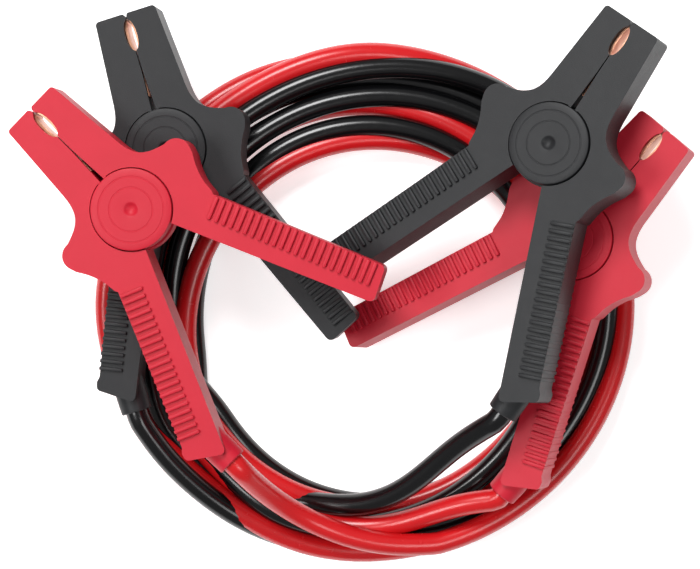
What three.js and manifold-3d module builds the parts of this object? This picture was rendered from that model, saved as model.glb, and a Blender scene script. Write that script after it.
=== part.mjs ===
// Jumper cable set: a red and a black booster cable wound together in one flat coil,
// with an insulated spring clamp on each of the four ends.
// Millimetres, +Z up, resting on the floor at z = 0.
import * as THREE from "three";
import { mergeVertices } from "three/addons/utils/BufferGeometryUtils.js";
import Module from "manifold-3d";

const wasm = await Module();
wasm.setup();

// Driving dimensions
const GAP = 0.3; // play between neighbouring pieces
const HALF_THICK = 10; // half of the clamp's thickness
const EDGE = 1.2; // chamfer round the clamp's faces
const HUB_R = 15.9; // face disc and knuckles
const HUB_BORE_R = 16.3; // round opening in the two bodies
const FACE_DISC_Z = 7.4; // inner face of the pin's head and of the cap
const KNUCKLE_Z = 3.2; // half height of the cable side's knuckle
const PIN_R = 5;
const SPRING_BORE_R = 9.6;
const CONTACT_HALF_WIDTH = 6;
const SLEEVE_X = 43; // centre line of the cable sleeve, off the clamp's middle
const SLEEVE_END_Y = -95.5;
const SLEEVE_R = 6.3;
const CABLE_R = 4.5;

// Coil: outer and inner rim as two ellipses, each [centre x, centre y, half width, half depth]
const COIL_OUTER = [6.2, -7.4, 110, 105.5];
const COIL_INNER = [9.2, -15.8, 67, 70];
const COIL_HEIGHT = 19;
const COIL_PILE = 8.5; // extra height where the bundle is narrow

// Moves the whole set so that the origin lies under the middle of its bounding box
const SHIFT = [-2.1, 1.8, 0];

const MATERIALS = {
  red: new THREE.MeshStandardMaterial({ color: 0xd8324a, roughness: 0.55 }),
  black: new THREE.MeshStandardMaterial({ color: 0x3a3b3d, roughness: 0.6 }),
  red_cable: new THREE.MeshStandardMaterial({ color: 0xc9252b, roughness: 0.4 }),
  black_cable: new THREE.MeshStandardMaterial({ color: 0x141315, roughness: 0.4 }),
  copper: new THREE.MeshStandardMaterial({ color: 0xb56a4a, metalness: 1, roughness: 0.35 }),
  steel: new THREE.MeshStandardMaterial({ color: 0x9a9ca0, metalness: 1, roughness: 0.4 }),
};

// Clamps: where the pivot sits, the way the jaws point, and how the clamp leans.
// lean turns the clamp about the level line at leanAxis; flip shows its other face.
const CLAMPS = [
  { name: "left_red", color: "red", at: [-83.1, 28.5, 52.1], heading: 135.5, flip: false,
    leanAxis: 98.7, lean: -4.9 },
  { name: "left_black", color: "black", at: [-71.4, 53, 33], heading: 107, flip: false,
    leanAxis: 98.7, lean: -4.9 },
  { name: "right_black", color: "black", at: [79.2, 52.9, 58.6], heading: 54.5, flip: true,
    leanAxis: 80, lean: -21 },
  { name: "right_red", color: "red", at: [89.6, 17, 37.6], heading: 49.1, flip: true,
    leanAxis: 82, lean: -17 },
];

// Solid helpers

function solid(geometry) {
  const g = geometry.clone();
  g.deleteAttribute("normal");
  g.deleteAttribute("uv");
  const merged = mergeVertices(g, 1e-4);
  return new wasm.Manifold(
    new wasm.Mesh({
      numProp: 3,
      vertProperties: new Float32Array(merged.attributes.position.array),
      triVerts: new Uint32Array(merged.index.array),
    }),
  );
}

function geometryOf(body) {
  const m = body.getMesh();
  const g = new THREE.BufferGeometry();
  const p = new Float32Array(m.numVert * 3);
  for (let i = 0; i < m.numVert; i++)
    for (let k = 0; k < 3; k++) p[3 * i + k] = m.vertProperties[m.numProp * i + k];
  g.setAttribute("position", new THREE.BufferAttribute(p, 3));
  g.setIndex(new THREE.BufferAttribute(new Uint32Array(m.triVerts), 1));
  const flat = g.toNonIndexed();
  flat.computeVertexNormals();
  return flat;
}

function plate(points, z0, z1, edge = 0) {
  const shape = new THREE.Shape(points.map(([x, y]) => new THREE.Vector2(x, y)));
  const g = new THREE.ExtrudeGeometry(shape, {
    depth: z1 - z0 - 2 * edge,
    bevelEnabled: edge > 0,
    bevelThickness: edge,
    bevelSize: edge,
    bevelOffset: -edge,
    bevelSegments: 1,
    curveSegments: 1,
  });
  g.translate(0, 0, z0 + edge);
  return solid(g);
}

function ring(inner, outer, z0, z1, segments = 32) {
  const v = (x, y) => new THREE.Vector2(x, y);
  const profile = [v(inner, z0), v(outer, z0), v(outer, z1), v(inner, z1)];
  if (inner > 0) profile.push(v(inner, z0));
  const g = new THREE.LatheGeometry(profile, segments);
  g.rotateX(Math.PI / 2);
  return solid(g);
}

const disc = (r, z0, z1, segments) => ring(0, r, z0, z1, segments);

// Clamp outline, right-hand side seen with the jaws up; the left-hand side is its mirror image

const EYE = Array.from({ length: 9 }, (_, i) => {
  const t = (Math.PI * (i + 0.5)) / 9;
  return [0.2 + 2.2 * Math.sin(t), 46.8 - 6.2 * Math.cos(t)];
});
const JAW = [
  [0.9, 15], [0.2, 32], ...EYE, [0.2, 54.2], [0.9, 55.6], [10.9, 55.6], [12, 55.2],
  [12.4, 54.2], [14.6, 25], [15, 20.5], [15.9, 16.6], [17.6, 13.4], [20.6, 11],
];
const EAR = Array.from({ length: 7 }, (_, i) => {
  const t = ((100 - 20 * i) * Math.PI) / 180;
  return [27.7 + 5.5 * Math.cos(t), 2.8 + 5.5 * Math.sin(t)];
});
const SHOULDER = [[29.2, -6], [27.4, -11.5], [26.8, -17.3]];
const LEVER_END = [[52.4, -83.8], [52.3, -86], [50.7, -87.4], [41.9, -91.1], [39.7, -90.9],
  [38.6, -89.3]];
const CABLE_END = [[50.8, -75.4], [53.9, -79.8], [53.6, -82.4], [51.9, -84.2], [42.4, -90.6],
  [40.2, -90.4], [38.8, -88.9]];
const CROTCH = [[5.7, -15.6], [3, -10]];

function outline(end, side) {
  const points = [...JAW, ...EAR, ...SHOULDER, ...end, ...CROTCH];
  return points.map(([x, y]) => [side * x, y]).reverse();
}

// Copper contact: a strip along the jaw's inner face that bulges round the eye
function contactStrip(side, grow) {
  const inner = [[0.35, 22]], outer = [[1.35, 22]];
  for (let i = 0; i <= 8; i++) {
    const t = (Math.PI * i) / 8;
    const y = 46.8 - Math.cos(t) * 5.9;
    inner.push([0.35 + 0.85 * Math.sin(t), y]);
    outer.push([1.35 + 0.9 * Math.sin(t), y]);
  }
  inner.push([0.35, 54]);
  outer.push([1.35, 54]);
  const points = [
    ...inner.map(([x, y], i) => [x - grow, y + (i === 0 ? -grow : i === 10 ? grow : 0)]),
    ...outer.reverse().map(([x, y], i) => [x + grow, y + (i === 0 ? grow : i === 10 ? -grow : 0)]),
  ];
  const w = CONTACT_HALF_WIDTH + grow;
  return plate(points.map(([x, y]) => [side * x, y]), -w, w);
}

function contactPocket(side) {
  const open = plate([[-0.5, 21.7], [0.9, 21.7], [0.9, 54.3], [-0.5, 54.3]]
    .map(([x, y]) => [side * x, y]), -CONTACT_HALF_WIDTH - GAP, CONTACT_HALF_WIDTH + GAP);
  return contactStrip(side, GAP).add(open);
}

function cableHalf() {
  const side = -1;
  let body = plate(outline(CABLE_END, side), -HALF_THICK, HALF_THICK, EDGE);
  body = body.subtract(disc(HUB_BORE_R, KNUCKLE_Z, HALF_THICK + 1));
  body = body.subtract(disc(HUB_BORE_R, -HALF_THICK - 1, -KNUCKLE_Z));
  body = body.add(disc(HUB_R, -KNUCKLE_Z, KNUCKLE_Z));
  body = body.subtract(disc(SPRING_BORE_R, -KNUCKLE_Z - 1, KNUCKLE_Z + 1, 24));
  const sleeve = new THREE.CylinderGeometry(SLEEVE_R + 0.9, SLEEVE_R, 18, 20);
  sleeve.translate(side * SLEEVE_X, SLEEVE_END_Y + 9, 0);
  body = body.add(solid(sleeve));
  return body.subtract(contactPocket(side));
}

function leverHalf() {
  const side = 1;
  let body = plate(outline(LEVER_END, side), -HALF_THICK, HALF_THICK, EDGE);
  const cheek = KNUCKLE_Z + GAP;
  const cheekTop = FACE_DISC_Z - GAP;
  body = body.subtract(disc(HUB_BORE_R, cheekTop, HALF_THICK + 1));
  body = body.subtract(disc(HUB_BORE_R, -HALF_THICK - 1, -cheekTop));
  body = body.subtract(disc(HUB_BORE_R, -cheek, cheek));
  body = body.add(disc(HUB_R, cheek, cheekTop)).add(disc(HUB_R, -cheekTop, -cheek));
  body = body.subtract(disc(PIN_R + GAP, -HALF_THICK, HALF_THICK, 24));
  return body.subtract(contactPocket(side));
}

function hingePin() {
  const head = disc(HUB_R, FACE_DISC_Z, HALF_THICK);
  return head.add(disc(PIN_R, -FACE_DISC_Z + GAP, HALF_THICK - 0.5, 24));
}

// Coil: a ring of one closed section; u runs from the inner to the outer rim, v from floor to top
function coilPoint(angle, u, v) {
  const c = Math.cos(angle), s = Math.sin(angle);
  const inner = [COIL_INNER[0] + COIL_INNER[2] * c, COIL_INNER[1] + COIL_INNER[3] * s];
  const outer = [COIL_OUTER[0] + COIL_OUTER[2] * c, COIL_OUTER[1] + COIL_OUTER[3] * s];
  const height = COIL_HEIGHT + COIL_PILE * Math.max(0, -s) ** 4;
  return [inner[0] + u * (outer[0] - inner[0]), inner[1] + u * (outer[1] - inner[1]), v * height];
}

function coil(section) {
  const closed = [...section, section[0]].map(([u, v]) => new THREE.Vector2(1 + u, v));
  const g = new THREE.LatheGeometry(closed, 56);
  g.rotateX(Math.PI / 2);
  const p = g.attributes.position;
  for (let i = 0; i < p.count; i++) {
    const x = p.getX(i), y = p.getY(i);
    const u = Math.hypot(x, y) - 1;
    p.setXYZ(i, ...coilPoint(Math.atan2(y, x), u, p.getZ(i)));
  }
  return solid(g);
}

// Each cable's section in the coil: the red one cradles the black one
const RED_SECTION = [
  [0.05, 0], [0.95, 0], [1, 0.18], [1, 0.82], [0.95, 1], [0.87, 1], [0.83, 0.85], [0.83, 0.34],
  [0.17, 0.34], [0.17, 0.85], [0.13, 1], [0.05, 1], [0, 0.82], [0, 0.18],
];
const BLACK_SECTION = [
  [0.19, 0.37], [0.81, 0.37], [0.81, 0.88], [0.76, 1], [0.66, 1], [0.605, 0.86], [0.55, 1],
  [0.45, 1], [0.395, 0.86], [0.34, 1], [0.24, 1], [0.19, 0.88],
];

function tube(points) {
  const curve = new THREE.CatmullRomCurve3(points.map((p) => new THREE.Vector3(...p)), false,
    "centripetal");
  const sides = 10;
  const shape = new THREE.Shape(Array.from({ length: sides }, (_, i) => {
    const t = (2 * Math.PI * i) / sides;
    return new THREE.Vector2(CABLE_R * Math.cos(t), CABLE_R * Math.sin(t));
  }));
  const steps = Math.max(4, Math.round(curve.getLength() / 9));
  return solid(new THREE.ExtrudeGeometry(shape, {
    steps, bevelEnabled: false, extrudePath: curve, curveSegments: 1,
  }));
}

// Free tails of the cables: the points each one takes from its clamp's sleeve down to the coil
const TAILS = {
  red_tail_left: ["left_red", "red_cable",
    [[-30, -84, 50.5], [-16, -88, 41.5], [-6, -88.8, 35.5], [0, -88.7, 32]]],
  red_tail_right: ["right_red", "red_cable", [[51.5, -98.6, 31.7], [43.5, -103, 30.4]]],
  black_tail_left: ["left_black", "black_cable", [[-76, -69.5, 28.8], [-66.5, -76.5, 25.6]]],
  black_tail_right: ["right_black", "black_cable",
    [[35.5, -66, 44.5], [27, -77, 38.8], [19.5, -86, 34.6], [14, -91.5, 31.8]]],
};

// Assembly
const root = new THREE.Group();
root.name = "jumper_cable_set";

function addMesh(name, body, material, matrix = new THREE.Matrix4()) {
  const geometry = geometryOf(body);
  geometry.applyMatrix4(matrix).translate(...SHIFT);
  const mesh = new THREE.Mesh(geometry, MATERIALS[material]);
  mesh.name = name;
  root.add(mesh);
}

function placement(clamp) {
  const rad = Math.PI / 180;
  const axis = new THREE.Vector3(
    Math.cos(clamp.leanAxis * rad), Math.sin(clamp.leanAxis * rad), 0);
  const m = new THREE.Matrix4().makeTranslation(...clamp.at);
  m.multiply(new THREE.Matrix4().makeRotationAxis(axis, clamp.lean * rad));
  m.multiply(new THREE.Matrix4().makeRotationZ((clamp.heading - 90) * rad));
  if (clamp.flip) m.multiply(new THREE.Matrix4().makeRotationY(Math.PI));
  return m;
}

const PIECES = {
  cable_half: [cableHalf(), null],
  lever_half: [leverHalf(), null],
  cable_contact: [contactStrip(-1, 0), "copper"],
  lever_contact: [contactStrip(1, 0), "copper"],
  hinge_pin: [hingePin(), null],
  hinge_cap: [disc(HUB_R, -HALF_THICK, -FACE_DISC_Z), null],
  spring: [ring(6.2, 8.8, -2.6, 2.6, 24), "steel"],
};

for (const clamp of CLAMPS) {
  const matrix = placement(clamp);
  for (const [piece, [body, material]] of Object.entries(PIECES))
    addMesh(`${clamp.name}_${piece}`, body, material ?? clamp.color, matrix);
}

addMesh("red_coil", coil(RED_SECTION), "red_cable");
addMesh("black_coil", coil(BLACK_SECTION), "black_cable");
for (const [name, [clampName, material, points]] of Object.entries(TAILS)) {
  const matrix = placement(CLAMPS.find((clamp) => clamp.name === clampName));
  const start = [GAP, 9].map((run) =>
    new THREE.Vector3(-SLEEVE_X, SLEEVE_END_Y - run, 0).applyMatrix4(matrix).toArray());
  addMesh(name, tube([...start, ...points]), material);
}

export default root;
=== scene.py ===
import math

import bpy
import numpy as np
from mathutils import Matrix, Vector


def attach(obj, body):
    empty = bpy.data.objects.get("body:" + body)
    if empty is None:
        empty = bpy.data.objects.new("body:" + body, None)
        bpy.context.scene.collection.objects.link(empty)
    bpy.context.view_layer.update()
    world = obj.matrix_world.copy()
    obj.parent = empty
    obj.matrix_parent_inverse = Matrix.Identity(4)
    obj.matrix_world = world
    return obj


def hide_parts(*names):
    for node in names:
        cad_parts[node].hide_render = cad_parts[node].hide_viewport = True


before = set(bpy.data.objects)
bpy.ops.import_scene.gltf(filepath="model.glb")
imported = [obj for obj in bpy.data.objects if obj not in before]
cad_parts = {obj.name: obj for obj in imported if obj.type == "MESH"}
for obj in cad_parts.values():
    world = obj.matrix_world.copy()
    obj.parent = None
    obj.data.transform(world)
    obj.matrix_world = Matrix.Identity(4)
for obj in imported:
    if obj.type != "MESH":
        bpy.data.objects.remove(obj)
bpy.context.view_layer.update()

MM = 0.001

# Where the set lies, in millimetres and degrees. Each clamp has its colour, its pivot, the way its
# jaws point, whether it lies with its back up, the way its lean axis points, and its lean.
SHIFT = (-2.1, 1.8, 0.0)
CLAMPS = {
    "left_red": ("red", (-83.1, 28.5, 52.1), 135.5, False, 98.7, -4.9),
    "left_black": ("black", (-71.4, 53.0, 33.0), 107.0, False, 98.7, -4.9),
    "right_black": ("black", (79.2, 52.9, 58.6), 54.5, True, 80.0, -21.0),
    "right_red": ("red", (89.6, 17.0, 37.6), 49.1, True, 82.0, -17.0),
}
# Rims of the coil: centre x and y, half width, half depth
COIL_OUTER = (6.2, -7.4, 110.0, 105.5)
COIL_INNER = (9.2, -15.8, 67.0, 70.0)
CABLE_RADIUS = 4.5
# A clamp in its own frame, pivot at 0, jaws up: end of the cable sleeve, hub, half of its thickness
SLEEVE = (-43.0, -95.5)
HUB_RADIUS = 15.9
HUB_BORE = 16.3
HALF_THICK = 10.0


def clamp_matrix(name):
    at, heading, flipped, lean_axis, lean = CLAMPS[name][1:]
    spot = Vector([(a + s) * MM for a, s in zip(at, SHIFT)])
    axis = Vector((math.cos(math.radians(lean_axis)), math.sin(math.radians(lean_axis)), 0))
    turn = Matrix.Rotation(math.radians(lean), 4, axis)
    turn = turn @ Matrix.Rotation(math.radians(heading - 90), 4, "Z")
    if flipped:
        turn = turn @ Matrix.Rotation(math.pi, 4, "Y")
    return Matrix.Translation(spot) @ turn


# Camera: straight above, as in the photo, which shows a width of 280 mm from 900 mm away
CAMERA_AT = (-0.0019, 0.0014, 0.925)
SENSOR, SEEN_FROM, SEEN_WIDTH = 36, 900, 280


def set_camera():
    bpy.ops.object.select_all(action="DESELECT")
    bpy.ops.object.camera_add(location=CAMERA_AT, rotation=(0, 0, 0))
    camera = bpy.context.object
    camera.name = "photo_camera"
    camera.data.sensor_width = SENSOR
    camera.data.lens = SENSOR * SEEN_FROM / SEEN_WIDTH
    camera.data.clip_start = 0.05
    camera.data.clip_end = 20
    bpy.context.scene.camera = camera
    bpy.context.scene.view_settings.view_transform = "Standard"


set_camera()


# Cables: each one lies in the coil by its place across the bundle (0 inner rim, 1 outer rim)
# and the height of its middle, at the angles where that is seen, and then settles against its
# neighbours. A lay lists angle, place and height.
STEP = 5
PUSH, PULL, SINK = 0.3, 0.02, 0.04
TAIL_STEPS, TAIL_EASING, ROUTE_EASING = 105, 420, 30
RED_LAY = [
    (-112, .42, 29), (-101, .47, 28), (-85, .65, 26.5), (-74, .84, 24), (-65, .86, 21),
    (-54, .88, 18), (-43, .90, 16), (0, .92, 10), (45, .90, 5), (62, .88, 5), (75, .89, 9),
    (90, .88, 13.5), (111, .84, 13.5), (130, .75, 13.5), (160, .80, 13.5), (180, .92, 8),
    (208, .88, 8), (232, .55, 18), (245, .71, 18.5), (256, .84, 17.5), (268, .84, 15),
    (285, .86, 12), (310, .88, 8), (340, .60, 6), (360, .55, 5), (405, .66, 4.6),
    (425, .66, 4.6), (440, .78, 4.6), (452, .86, 4.6),
    (475, .88, 5), (490, .91, 5), (520, .90, 5), (560, .70, 5), (600, .50, 5), (630, .50, 5),
    (670, .50, 5), (720, .32, 5), (765, .20, 5), (780, .14, 5), (795, .11, 9), (815, .10, 12.5),
    (860, .10, 13), (900, .20, 13.5), (925, .25, 14), (942, .25, 14.5), (957, .23, 14.5),
    (975, .20, 14), (989, .18, 13.5),
    (1012, .16, 12), (1035, .13, 10), (1080, .30, 13), (1110, .34, 13.5), (1141, .37, 13.5),
    (1153, .40, 13), (1165, .44, 8), (1180, .46, 4.7), (1210, .44, 4.7), (1260, .42, 5),
    (1290, .50, 12), (1313, .52, 14), (1330, .54, 17), (1345, .57, 20), (1357, .60, 22.5),
    (1365, .58, 25),
]
BLACK_LAY = [
    (-120, .93, 15), (-110, .92, 9), (-90, .86, 5), (-50, .90, 5), (-10, .95, 5), (20, .94, 8),
    (45, .89, 12), (63, .86, 13.5), (75, .81, 13.5), (91, .71, 13.5), (105, .68, 13.5),
    (118, .62, 13.5), (150, .62, 13.5), (180, .46, 14), (210, .60, 10), (240, .60, 8),
    (268, .55, 12), (290, .72, 10), (300, .78, 8), (317, .80, 7), (342, .76, 9), (360, .76, 13),
    (400, .62, 13.5), (426, .55, 13.5), (434, .54, 13.5), (452, .49, 13.5), (468, .45, 13.5),
    (482, .42, 13.5), (520, .36, 13.5), (545, .30, 9), (578, .12, 5), (615, .12, 5),
    (650, .17, 5), (700, .20, 5), (740, .60, 10), (765, .70, 12), (785, .70, 11), (800, .68, 7),
    (812, .68, 5), (830, .66, 5), (900, .60, 5), (940, .40, 9), (960, .44, 15), (986, .42, 20),
    (1000, .38, 20), (1016, .28, 18), (1033, .18, 17), (1060, .16, 14), (1110, .17, 13.5),
    (1142, .20, 13.5), (1158, .24, 13.5), (1172, .23, 13.5), (1191, .23, 13.5),
    (1206, .22, 13.5), (1240, .14, 9), (1270, .12, 5), (1290, .30, 5), (1315, .34, 6),
    (1329, .36, 12), (1341, .32, 19), (1351, .18, 26),
]
# Points that each tail passes between its clamp's sleeve and the coil
TAILS = {
    "left_red": [(-40, -77, 47), (-30, -85, 38)],
    "right_red": [(42, -84.5, 30)],
    "left_black": [(-71, -74, 24)],
    "right_black": [(41.5, -61, 43.5), (34, -71.5, 38.5), (26, -80.5, 34)],
}


def coil_frame(angle):
    c, s = math.cos(math.radians(angle)), math.sin(math.radians(angle))
    inner = Vector((COIL_INNER[0] + COIL_INNER[2] * c, COIL_INNER[1] + COIL_INNER[3] * s))
    outer = Vector((COIL_OUTER[0] + COIL_OUTER[2] * c, COIL_OUTER[1] + COIL_OUTER[3] * s))
    return inner, outer


def keyed(lay):
    first, last = lay[0][0], lay[-1][0]
    angles = np.arange(first, last + 1, STEP, dtype=float)
    keys = np.array(lay, dtype=float)
    across = np.interp(angles, keys[:, 0], keys[:, 1])
    height = np.interp(angles, keys[:, 0], keys[:, 2])
    widths = np.array([(coil_frame(a)[1] - coil_frame(a)[0]).length for a in angles])
    return [angles, across * widths, height, widths]


def eased(values, passes):
    """Each value drawn to the mean of its neighbours, the ends held."""
    for _ in range(passes):
        values[1:-1] += 0.25 * (values[:-2] + values[2:] - 2 * values[1:-1])
    return values


def settle(strands, rounds=260):
    """Strands at the same angle push each other a diameter apart and sink towards the floor."""
    clear = 2 * CABLE_RADIUS + 0.1
    for s in strands:
        eased(s[1], 12)
        eased(s[2], 12)
        s.append(s[1].copy())
        s.append(s[2].copy())
    for step in range(rounds):
        slots = {}
        for k, s in enumerate(strands):
            for i, a in enumerate(s[0]):
                slots.setdefault(int(a) % 360, []).append((k, i))
        for members in slots.values():
            for m in range(len(members)):
                for n in range(m + 1, len(members)):
                    (k, i), (q, j) = members[m], members[n]
                    dx = strands[k][1][i] - strands[q][1][j]
                    dz = strands[k][2][i] - strands[q][2][j]
                    gap = math.hypot(dx, dz)
                    if gap < clear:
                        if gap < 1e-6:
                            dx, dz, gap = 0.01, 0.01, 0.0141
                        push = PUSH * (clear - gap) / gap
                        strands[k][1][i] += dx * push
                        strands[q][1][j] -= dx * push
                        strands[k][2][i] += dz * push
                        strands[q][2][j] -= dz * push
        for s in strands:
            s[1] += PULL * (s[4] - s[1])
            s[2] += PULL * (s[5] - s[2])
            s[2] -= SINK
            if step % 4 == 0:
                eased(s[1], 1)
                eased(s[2], 1)
            s[1][:] = np.clip(s[1], CABLE_RADIUS, s[3] - CABLE_RADIUS)
            s[2][:] = np.maximum(s[2], CABLE_RADIUS + 0.1)


def coil_points(strand):
    points = []
    for a, across, height, width in zip(*strand[:4]):
        inner, outer = coil_frame(a)
        flat = inner + (outer - inner) * (across / width)
        points.append(Vector((flat.x, flat.y, height)))
    return points


def tail_points(clamp):
    back = clamp_matrix(clamp)
    out = []
    for run in (-4, 2, 8):
        p = back @ Vector((SLEEVE[0] * MM, (SLEEVE[1] - run) * MM, 0))
        out.append(Vector([p[k] / MM - SHIFT[k] for k in range(3)]))
    return out + [Vector(p) for p in TAILS[clamp]]


def eased_3d(line, first, last, passes):
    for _ in range(passes):
        line[first:last] += 0.25 * (line[first - 1 : last - 1] + line[first + 1 : last + 1]
                                    - 2 * line[first:last])


def rounded_route(points, spacing=3.0):
    """A smooth line through the points, evenly stepped."""
    dense = []
    padded = [2 * points[0] - points[1]] + points + [2 * points[-1] - points[-2]]
    for i in range(1, len(padded) - 2):
        p0, p1, p2, p3 = padded[i - 1 : i + 3]
        n = max(2, int((p2 - p1).length / 1.0))
        for j in range(n):
            t = j / n
            dense.append(0.5 * (2 * p1 + (p2 - p0) * t + (2 * p0 - 5 * p1 + 4 * p2 - p3) * t * t
                                + (3 * p1 - p0 - 3 * p2 + p3) * t ** 3))
    dense.append(points[-1])
    line = np.array([list(p) for p in dense])
    eased_3d(line, 6, len(line) - 6, ROUTE_EASING)
    eased_3d(line, 8, TAIL_STEPS, TAIL_EASING)
    eased_3d(line, len(line) - TAIL_STEPS, len(line) - 8, TAIL_EASING)
    run = np.concatenate([[0], np.cumsum(np.linalg.norm(np.diff(line, axis=0), axis=1))])
    steps = np.linspace(0, run[-1], int(run[-1] / spacing) + 1)
    return np.stack([np.interp(steps, run, line[:, k]) for k in range(3)], axis=1), run[-1]


def lay_cable(name, strand, first_clamp, last_clamp):
    """One cable from clamp to clamp, a cord that stands for its three CAD nodes, which it hides."""
    route = tail_points(first_clamp) + coil_points(strand) + tail_points(last_clamp)[::-1]
    line, length = rounded_route(route)
    path = [tuple((p + np.array(SHIFT)) * MM) for p in line]
    curve = bpy.data.curves.new(name, "CURVE")
    curve.dimensions = "3D"
    curve.bevel_depth = CABLE_RADIUS * MM
    curve.bevel_resolution = 5
    curve.use_fill_caps = True
    spline = curve.splines.new("POLY")
    spline.points.add(len(path) - 1)
    for point, spot in zip(spline.points, path):
        point.co = (*spot, 1)
    spline.use_smooth = True
    cable = bpy.data.objects.new(name, curve)
    bpy.context.scene.collection.objects.link(cable)
    bpy.ops.object.select_all(action="DESELECT")
    cable.select_set(True)
    bpy.context.view_layer.objects.active = cable
    bpy.ops.object.convert(target="MESH")
    cable = bpy.context.object
    exit_point = clamp_matrix(first_clamp) @ Vector((SLEEVE[0] * MM, SLEEVE[1] * MM, 0))
    colour = name.split("_")[0]
    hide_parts(f"{colour}_coil", f"{colour}_tail_left", f"{colour}_tail_right")
    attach(cable, "cables_and_clamp_bodies")
    return cable


strands = [keyed(RED_LAY), keyed(BLACK_LAY)]
settle(strands)
red_cable = lay_cable("red_cable", strands[0], "left_red", "right_red")
black_cable = lay_cable("black_cable", strands[1], "left_black", "right_black")


# Small modelling steps
QUARTER_ROUND = ((.134, .5), (.366, .366), (.5, .134))


def start():
    if bpy.context.object and bpy.context.object.mode != "OBJECT":
        bpy.ops.object.mode_set(mode="OBJECT")
    bpy.ops.object.select_all(action="DESELECT")


def pick(obj):
    start()
    obj.select_set(True)
    bpy.context.view_layer.objects.active = obj


def smooth_through(points, parts):
    """More points on a smooth line through the given ones."""
    out = []
    padded = [points[0]] + list(points) + [points[-1]]
    for i in range(1, len(padded) - 2):
        p0, p1, p2, p3 = (Vector(p) for p in padded[i - 1 : i + 3])
        for j in range(parts):
            t = j / parts
            out.append(tuple(0.5 * (2 * p1 + (p2 - p0) * t
                                    + (2 * p0 - 5 * p1 + 4 * p2 - p3) * t * t
                                    + (3 * p1 - p0 - 3 * p2 + p3) * t ** 3)))
    out.append(tuple(points[-1]))
    return out


def arc(cx, cy, r, a0, a1, n):
    return [(cx + r * math.cos(math.radians(a0 + (a1 - a0) * i / n)),
             cy + r * math.sin(math.radians(a0 + (a1 - a0) * i / n))) for i in range(n + 1)]


def cut_plate(name, points, low, high, rounding=0.0):
    """A plate of that outline, given anticlockwise, its rims rounded over."""
    start()
    bpy.ops.mesh.primitive_circle_add(vertices=len(points), radius=0.01, fill_type="NGON")
    plate = bpy.context.object
    plate.name = name
    for v, (x, y) in zip(plate.data.vertices, points):
        v.co = (x * MM, y * MM, (low + rounding) * MM)
    bpy.ops.object.mode_set(mode="EDIT")
    bpy.ops.mesh.select_all(action="SELECT")
    lift = (high - low - 2 * rounding) * MM
    bpy.ops.mesh.extrude_region_move(TRANSFORM_OT_translate={"value": (0, 0, lift)})
    bpy.ops.mesh.select_all(action="SELECT")
    bpy.ops.mesh.normals_make_consistent(inside=False)
    bpy.ops.object.mode_set(mode="OBJECT")
    if rounding:
        for up in (1, -1):
            for face in plate.data.polygons:
                face.select = face.normal.z * up > 0.9
            bpy.ops.object.mode_set(mode="EDIT")
            for inset, rise in QUARTER_ROUND:
                bpy.ops.mesh.inset(thickness=inset * rounding * MM, depth=0)
                bpy.ops.transform.translate(value=(0, 0, up * rise * rounding * MM))
            bpy.ops.object.mode_set(mode="OBJECT")
            for face in plate.data.polygons:
                face.select = False
    return plate


def turned(name, profile, steps=64):
    """A body of revolution round Z from its profile of radius and height, in millimetres."""
    start()
    bpy.ops.mesh.primitive_circle_add(vertices=len(profile), radius=0.01, fill_type="NOTHING")
    body = bpy.context.object
    body.name = name
    for v, (r, z) in zip(body.data.vertices, profile):
        v.co = (r * MM, 0, z * MM)
    bpy.ops.object.mode_set(mode="EDIT")
    bpy.ops.mesh.select_all(action="SELECT")
    bpy.ops.mesh.spin(steps=steps, angle=2 * math.pi, center=(0, 0, 0), axis=(0, 0, 1))
    bpy.ops.mesh.select_all(action="SELECT")
    bpy.ops.mesh.remove_doubles(threshold=0.005 * MM)
    bpy.ops.mesh.delete_loose()
    bpy.ops.mesh.select_all(action="SELECT")
    bpy.ops.mesh.normals_make_consistent(inside=False)
    bpy.ops.object.mode_set(mode="OBJECT")
    return body


def block(size, at, bevel, segments=2):
    start()
    bpy.ops.mesh.primitive_cube_add(size=1)
    cube = bpy.context.object
    cube.data.transform(Matrix.Diagonal((*[s * MM for s in size], 1)))
    bpy.ops.object.mode_set(mode="EDIT")
    bpy.ops.mesh.select_all(action="SELECT")
    bpy.ops.mesh.bevel(offset=bevel * MM, segments=segments, affect="EDGES")
    bpy.ops.object.mode_set(mode="OBJECT")
    cube.data.transform(Matrix.Translation([a * MM for a in at]))
    return cube


def joined(name, *objs):
    start()
    for o in objs:
        o.select_set(True)
    bpy.context.view_layer.objects.active = objs[0]
    bpy.ops.object.join()
    whole = bpy.context.object
    whole.name = name
    whole.data.name = name
    return whole


def carve(obj, tool):
    pick(obj)
    cut = obj.modifiers.new("cut", "BOOLEAN")
    cut.operation = "DIFFERENCE"
    cut.solver = "EXACT"
    cut.object = tool
    bpy.ops.object.modifier_apply(modifier=cut.name)
    bpy.data.objects.remove(tool)


def rounded_shading(obj, degrees=35):
    pick(obj)
    bpy.ops.object.shade_smooth_by_angle(angle=math.radians(degrees))
    return obj


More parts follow.
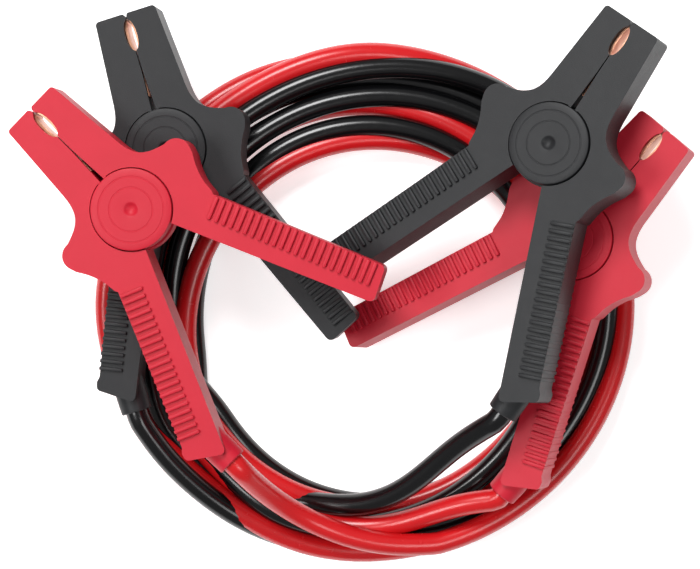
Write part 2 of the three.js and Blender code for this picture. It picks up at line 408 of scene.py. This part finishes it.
# Clamp halves, drawn for the right-hand side with the jaws up
EYE = [(0.2 + 2.2 * math.sin(math.pi * i / 16), 46.8 - 6.2 * math.cos(math.pi * i / 16))
       for i in range(1, 16)]
NECK = smooth_through([(14.6, 25), (15, 20.5), (15.9, 16.6), (17.6, 13.4), (20.4, 11),
                       (23.6, 9.5), (26.9, 8.4)], 4)
EAR = arc(27.7, 2.8, 5.6, 85, -12, 12)
SHOULDER = smooth_through([(32.2, -1.5), (29.6, -6), (27.6, -11.5), (26.9, -17.3)], 4)
LEVER_TIP = arc(50.2, -84.0, 2.3, 22, -68, 5) + arc(40.9, -88.6, 2.2, -68, -158, 5)
CABLE_TIP = ([(50.6, -75.8), (51.6, -78.0), (53.2, -79.6)] + arc(52.1, -82.0, 1.8, 20, -50, 4)
             + arc(42.0, -88.8, 2.0, -58, -148, 5))
EDGE_INSET = 0.6
RIM_ROUNDING = 1.3
RIB = (9.2, 1.45, 20.2)
RIB_REACH = 4.7
KNUCKLE_BORE, KNUCKLE_HALF = 9.6, 3.2
CHEEK_BORE, CHEEK_THICK = 5.3, 3.6
CHEEK_BOTTOMS = (3.5, -7.1)
DISC_BACK = 7.4
PIN_RADIUS, PIN_END = 5, -7.1


def half_outline(tip):
    jaw = [(1.0, 15.6), (0.62, 24), (0.25, 32), (0.2, 40.4)] + EYE + [(0.2, 53.8), (0.5, 55.0),
          (1.1, 55.6), (10.6, 55.6)] + arc(10.9, 54.1, 1.5, 88, 5, 4)
    grip = [(26.9 - EDGE_INSET, -18.6), (tip[0][0] - EDGE_INSET, tip[0][1] + 1.5)]
    hub = arc(0, 0, HUB_BORE, -69.5, 86.6, 30)
    return jaw + NECK + EAR + SHOULDER + grip + tip + hub[1:-1]


def mirrored(points):
    return [(-x, y) for x, y in points]


def grip_ribs(side, tip_corner, count):
    """Ribs across the outer edge of a handle, wrapped on to both faces."""
    a, b = Vector((26.9, -20.5)), Vector(tip_corner)
    way = (b - a).normalized()
    inward = Vector((way.y, -way.x))
    if inward.x > 0:
        inward = -inward
    first = None
    ribs = []
    for i in range(count):
        spot = a + way * (i * (b - a).length / (count - 1)) + inward * RIB_REACH
        angle = math.degrees(math.atan2(inward.y, inward.x))
        if side < 0:
            spot.x, angle = -spot.x, 180 - angle
        if first is None:
            first = block(RIB, (0, 0, 0), 0.38)
            rib = first
        else:
            rib = first.copy()
            rib.data = first.data.copy()
            bpy.context.scene.collection.objects.link(rib)
        ribs.append((rib, spot, angle))
    for rib, spot, angle in ribs:
        rib.data.transform(Matrix.Translation((spot.x * MM, spot.y * MM, 0))
                           @ Matrix.Rotation(math.radians(angle), 4, "Z"))
    return [r[0] for r in ribs]


def pocket(side):
    """What is cut from a jaw for its contact."""
    return block((2.4, 32.6, 12.6), (side * 0.5, 38.0, 0), 0.05, 1)


def make_cable_half():
    side = -1
    points = mirrored(half_outline(CABLE_TIP))
    body = cut_plate("cable_half", points, -HALF_THICK, HALF_THICK, RIM_ROUNDING)
    carve(body, pocket(side))
    rim = HUB_RADIUS + 0.8
    knuckle = turned("knuckle", [(KNUCKLE_BORE, -KNUCKLE_HALF), (rim, -KNUCKLE_HALF),
                                 (rim, KNUCKLE_HALF), (KNUCKLE_BORE, KNUCKLE_HALF)])
    x, y = SLEEVE
    sleeve = turned("sleeve", [(4.62, 0), (5.7, 0), (6.05, 0.35), (6.25, 6), (6.3, 18),
                               (4.62, 18)], 40)
    sleeve.data.transform(Matrix.Translation((x * MM, y * MM, 0))
                          @ Matrix.Rotation(math.radians(-90), 4, "X"))
    ribs = grip_ribs(side, (50.6, -74.6), 21)
    return rounded_shading(joined("cable_half", body, knuckle, sleeve, *ribs))


def make_lever_half():
    side = 1
    points = half_outline(LEVER_TIP)[::-1]
    body = cut_plate("lever_half", points, -HALF_THICK, HALF_THICK, RIM_ROUNDING)
    carve(body, pocket(side))
    cheeks = [turned("cheek", [(CHEEK_BORE, z), (HUB_RADIUS, z), (HUB_RADIUS, z + CHEEK_THICK),
                               (CHEEK_BORE, z + CHEEK_THICK)]) for z in CHEEK_BOTTOMS]
    links = [block((5, 14, CHEEK_THICK), (15.4, 0, z + CHEEK_THICK / 2), 0.1, 1)
             for z in CHEEK_BOTTOMS]
    ribs = grip_ribs(side, (51.6, -81.6), 23)
    return rounded_shading(joined("lever_half", body, *cheeks, *links, *ribs))


def make_contact(side):
    """Copper strip along the jaw's inner face, bulged into the eye."""
    inner = [(0.35, 22), (0.35, 30), (0.35, 38)] + [
        (0.35 + 0.85 * math.sin(math.pi * i / 14), 46.8 - 5.9 * math.cos(math.pi * i / 14))
        for i in range(15)] + [(0.35, 54)]
    outer = [(1.35, 54)] + [
        (1.35 + 0.9 * math.sin(math.pi * i / 14), 46.8 - 5.9 * math.cos(math.pi * i / 14))
        for i in range(14, -1, -1)] + [(1.35, 38), (1.35, 30), (1.35, 22)]
    points = [(side * x, y) for x, y in inner + outer]
    if side > 0:
        points = points[::-1]
    return rounded_shading(cut_plate("contact", points, -6, 6, 0.2))


def face_profile(outer, z_face):
    """Half section of the hub's face disc: fine rings round a dimple, seen from +Z."""
    profile = [(0, z_face - 1.3), (0.9, z_face - 1.2), (2.2, z_face - 0.5), (2.7, z_face - 0.05),
               (3.1, z_face)]
    for r in (8.2, 12.4):
        profile += [(r, z_face), (r + 0.15, z_face - 0.12), (r + 0.45, z_face - 0.12),
                    (r + 0.6, z_face)]
    profile += [(outer - 0.7, z_face), (outer - 0.2, z_face - 0.2), (outer, z_face - 0.7)]
    return profile


def make_pin():
    profile = face_profile(HUB_RADIUS, HALF_THICK) + [
        (HUB_RADIUS, DISC_BACK), (PIN_RADIUS, DISC_BACK), (PIN_RADIUS, PIN_END), (0, PIN_END)]
    return rounded_shading(turned("hinge_pin", profile))


def make_cap():
    profile = face_profile(HUB_RADIUS, HALF_THICK) + [(HUB_RADIUS, DISC_BACK), (0, DISC_BACK)]
    cap = turned("hinge_cap", profile)
    cap.data.transform(Matrix.Rotation(math.pi, 4, "X"))
    return rounded_shading(cap)


PIECES = {
    "cable_half": make_cable_half(),
    "lever_half": make_lever_half(),
    "cable_contact": make_contact(-1),
    "lever_contact": make_contact(1),
    "hinge_pin": make_pin(),
    "hinge_cap": make_cap(),
}


# Materials
class Socket:
    """A shader value that a number can be added to, taken from or multiplied with."""

    def __init__(self, tree, link):
        self.tree, self.link = tree, link

    def math(self, operation, a, b):
        node = self.tree.nodes.new("ShaderNodeMath")
        node.operation = operation
        for slot, value in enumerate((a, b)):
            if isinstance(value, Socket):
                self.tree.links.new(value.link, node.inputs[slot])
            else:
                node.inputs[slot].default_value = value
        return Socket(self.tree, node.outputs[0])

    def __radd__(self, other):
        return self.math("ADD", other, self)

    def __sub__(self, other):
        return self.math("SUBTRACT", self, other)

    def __rmul__(self, other):
        return self.math("MULTIPLY", other, self)


class Finish:
    """One material: its shader, and a way to add any node to it."""

    def __init__(self, name):
        self.material = bpy.data.materials.new(name)
        self.material.use_nodes = True
        self.tree = self.material.node_tree
        self.shader = next(n for n in self.tree.nodes if n.type == "BSDF_PRINCIPLED")
        self.place = self.node("ShaderNodeTexCoord", output="Object")

    def node(self, kind, settings=None, output=0, **values):
        node = self.tree.nodes.new(kind)
        for key, value in (settings or {}).items():
            setattr(node, key, value)
        for key, value in values.items():
            socket = self.input(node, key)
            if isinstance(value, Socket):
                self.tree.links.new(value.link, socket)
            else:
                socket.default_value = value
        return Socket(self.tree, node.outputs[output])

    @staticmethod
    def input(node, key):
        if key.startswith("in_"):
            return node.inputs[int(key[3:])]
        return node.inputs[key.replace("_", " ")]

    def noise(self, scale, detail=3.0, roughness=0.5):
        return self.node("ShaderNodeTexNoise", Vector=self.place, Scale=scale, Detail=detail,
                         Roughness=roughness)

    def blend(self, mask, a, b):
        return self.node("ShaderNodeMix", {"data_type": "RGBA"}, output=2, in_0=mask, in_6=a,
                         in_7=b)

    def bump(self, height, strength, distance):
        return self.node("ShaderNodeBump", Strength=strength, Distance=distance, Height=height)

    def set(self, **values):
        for key, value in values.items():
            socket = self.shader.inputs[key.replace("_", " ")]
            if isinstance(value, Socket):
                self.tree.links.new(value.link, socket)
            else:
                socket.default_value = value


def moulded_plastic(name, light, dark, rough, grain, grain_depth):
    m = Finish(name)
    tone = m.noise(60, 4)
    fine = m.noise(grain, 2, 0.6)
    worn = m.noise(210, 5, 0.65)
    m.set(Base_Color=m.blend(tone, light, dark),
          Roughness=rough + 0.10 * worn - 0.05,
          Normal=m.bump(fine, 0.35, grain_depth),
          IOR=1.4)
    return m.material


def vinyl(name, light, dark, rough):
    m = Finish(name)
    tone = m.noise(35, 3)
    wave = m.noise(60, 2, 0.4)
    scuff = m.noise(420, 4, 0.6)
    m.set(Base_Color=m.blend(tone, light, dark),
          Roughness=rough + 0.08 * scuff,
          Normal=m.bump(wave, 0.06, 0.0006),
          IOR=1.5)
    return m.material


def copper():
    m = Finish("bare_copper")
    tarnish = m.noise(160, 5, 0.6)
    m.set(Base_Color=m.blend(tarnish, (0.86, 0.47, 0.32, 1), (0.55, 0.25, 0.15, 1)),
          Roughness=0.22 + 0.25 * tarnish, Metallic=1.0,
          Normal=m.bump(m.noise(900, 3), 0.1, 0.0002))
    return m.material


def spring_wire():
    m = Finish("spring_wire")
    streak = m.noise(300, 4)
    m.set(Base_Color=m.blend(streak, (0.5, 0.5, 0.52, 1), (0.3, 0.3, 0.31, 1)),
          Roughness=0.3 + 0.2 * streak, Metallic=1.0)
    return m.material


FINISHES = {
    "red": moulded_plastic("red_moulded_plastic", (0.54, 0.0078, 0.0275, 1),
                           (0.47, 0.0052, 0.020, 1), 0.50, 2600, 0.00012),
    "black": moulded_plastic("black_moulded_plastic", (0.012, 0.0125, 0.014, 1),
                             (0.007, 0.0075, 0.009, 1), 0.50, 2600, 0.00016),
    "red_cable": vinyl("red_vinyl", (0.60, 0.010, 0.013, 1), (0.52, 0.006, 0.009, 1), 0.22),
    "black_cable": vinyl("black_vinyl", (0.004, 0.004, 0.0045, 1), (0.002, 0.002, 0.0025, 1),
                         0.17),
    "copper": copper(),
    "spring": spring_wire(),
}


def give(obj, finish):
    obj.data.materials.clear()
    obj.data.materials.append(FINISHES[finish])


give(red_cable, "red_cable")
give(black_cable, "black_cable")

for clamp, settings in CLAMPS.items():
    place = clamp_matrix(clamp)
    for piece, master in PIECES.items():
        copy = master.copy()
        copy.data = master.data.copy()
        copy.name = f"{clamp}_{piece}_dressed"
        copy.data.transform(place)
        bpy.context.scene.collection.objects.link(copy)
        give(copy, "copper" if "contact" in piece else settings[0])
        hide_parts(f"{clamp}_{piece}")
        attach(copy, f"{clamp}_lever" if "lever" in piece else "cables_and_clamp_bodies")
        "copper" if "contact" in piece else f"{settings[0]}_plastic"
    spring = bpy.data.objects[f"{clamp}_spring"]
    for slot in spring.material_slots:
        slot.link = "OBJECT"
        slot.material = FINISHES["spring"]
for master in PIECES.values():
    bpy.data.objects.remove(master)


# Floor and light. A lamp has its name, place, size and power, and faces the origin.
WHITE = (1, 1, 1, 1)
FLOOR_GLOW, SKY = 0.55, 0.27
LAMPS = (("key_light", (-0.35, 0.85, 1.2), 0.6, 17.0),
         ("fill_light", (0.55, -0.35, 1.4), 0.6, 5.0),
         ("side_light", (-0.8, -0.1, 1.2), 0.5, 8.0))


def set_stage():
    start()
    bpy.ops.mesh.primitive_plane_add(size=6, location=(0, 0, 0))
    floor = bpy.context.object
    floor.name = "pale_floor"
    paint = Finish("pale_floor")
    paint.set(Base_Color=(0.94, 0.94, 0.94, 1), Roughness=0.9,
              Emission_Color=WHITE, Emission_Strength=FLOOR_GLOW)
    floor.data.materials.append(paint.material)
    world = bpy.context.scene.world or bpy.data.worlds.new("studio")
    bpy.context.scene.world = world
    world.use_nodes = True
    sky = next(n for n in world.node_tree.nodes if n.type == "BACKGROUND")
    sky.inputs["Color"].default_value = WHITE
    sky.inputs["Strength"].default_value = SKY
    for name, at, size, power in LAMPS:
        bpy.ops.object.light_add(type="AREA", location=at)
        lamp = bpy.context.object
        lamp.name = name
        lamp.data.shape = "DISK"
        lamp.data.size = size
        lamp.data.energy = power
        lamp.rotation_euler = (Vector((0, 0, 0)) - Vector(at)).to_track_quat("-Z", "Y").to_euler()


set_stage()
